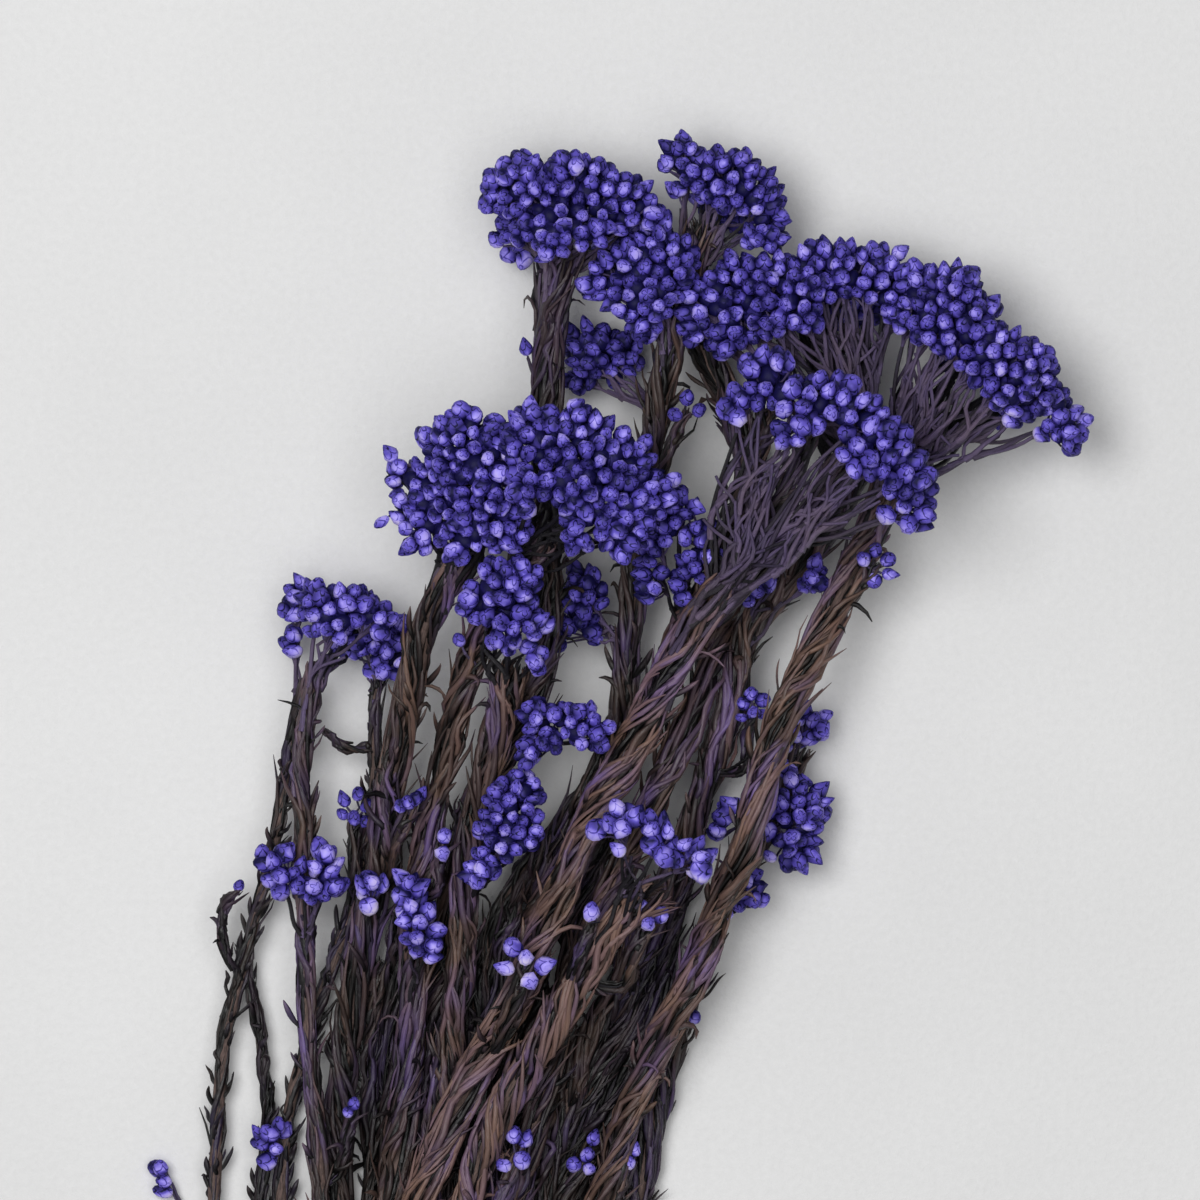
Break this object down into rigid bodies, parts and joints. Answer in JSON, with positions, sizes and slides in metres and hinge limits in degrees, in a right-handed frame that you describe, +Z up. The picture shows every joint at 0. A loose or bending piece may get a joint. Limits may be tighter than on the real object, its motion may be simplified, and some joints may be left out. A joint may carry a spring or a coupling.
{
  "type": "dried rice flower bunch",
  "caption": "Bunch of dried, dyed rice flower lying flat: leafy woody stems held by a rubber band, ending in heads of small closed buds on forked stalks.",
  "frame": {"origin": "middle of the bunch's box in X and Y, on the surface that it lies on", "axes": "+Y along the bunch towards the flowers, +Z up from the surface, +X to the right seen from above with the flowers away from the viewer"},
  "size_m": [0.2339, 0.4641, 0.0813],
  "materials": {
    "stem_wood": "dry brown bark with a violet tint",
    "leaves": "dry narrow leaves, brown to lilac",
    "buds": "dry papery bracts dyed blue-violet, satin",
    "band": "matt natural rubber"
  },
  "bodies": {
    "root": {"stem_01": "stem_wood", "stem_02": "stem_wood", "stem_03": "stem_wood", "stem_04": "stem_wood", "stem_05": "stem_wood", "stem_06": "stem_wood", "stem_07": "stem_wood", "stem_08": "stem_wood", "stem_09": "stem_wood", "stem_10": "stem_wood", "stem_11": "stem_wood", "stem_12": "stem_wood", "stem_13": "stem_wood", "stem_14": "stem_wood", "stem_15": "stem_wood", "leaves_01": "leaves", "leaves_02": "leaves", "leaves_03": "leaves", "leaves_04": "leaves", "leaves_05": "leaves", "leaves_06": "leaves", "leaves_07": "leaves", "leaves_08": "leaves", "leaves_09": "leaves", "leaves_10": "leaves", "leaves_11": "leaves", "leaves_12": "leaves", "leaves_13": "leaves", "leaves_14": "leaves", "leaves_15": "leaves", "head_01": "buds", "head_02": "buds", "head_03": "buds", "head_04": "buds", "head_05": "buds", "head_06": "buds", "head_07": "buds", "head_08": "buds", "head_09": "buds", "head_10": "buds", "head_11": "buds", "head_12": "buds", "head_13": "buds", "head_14": "buds", "head_15": "buds", "sprig_08_upper": "buds", "sprig_08_lower": "buds", "sprig_15": "buds", "sprig_06": "buds", "sprig_02": "buds", "sprig_04": "buds", "sprig_05": "buds", "sprig_14_upper": "buds", "sprig_14_lower": "buds", "sprig_12": "buds", "sprig_03": "buds", "sprig_01": "buds", "band": "band"}
  },
  "joints": []
}
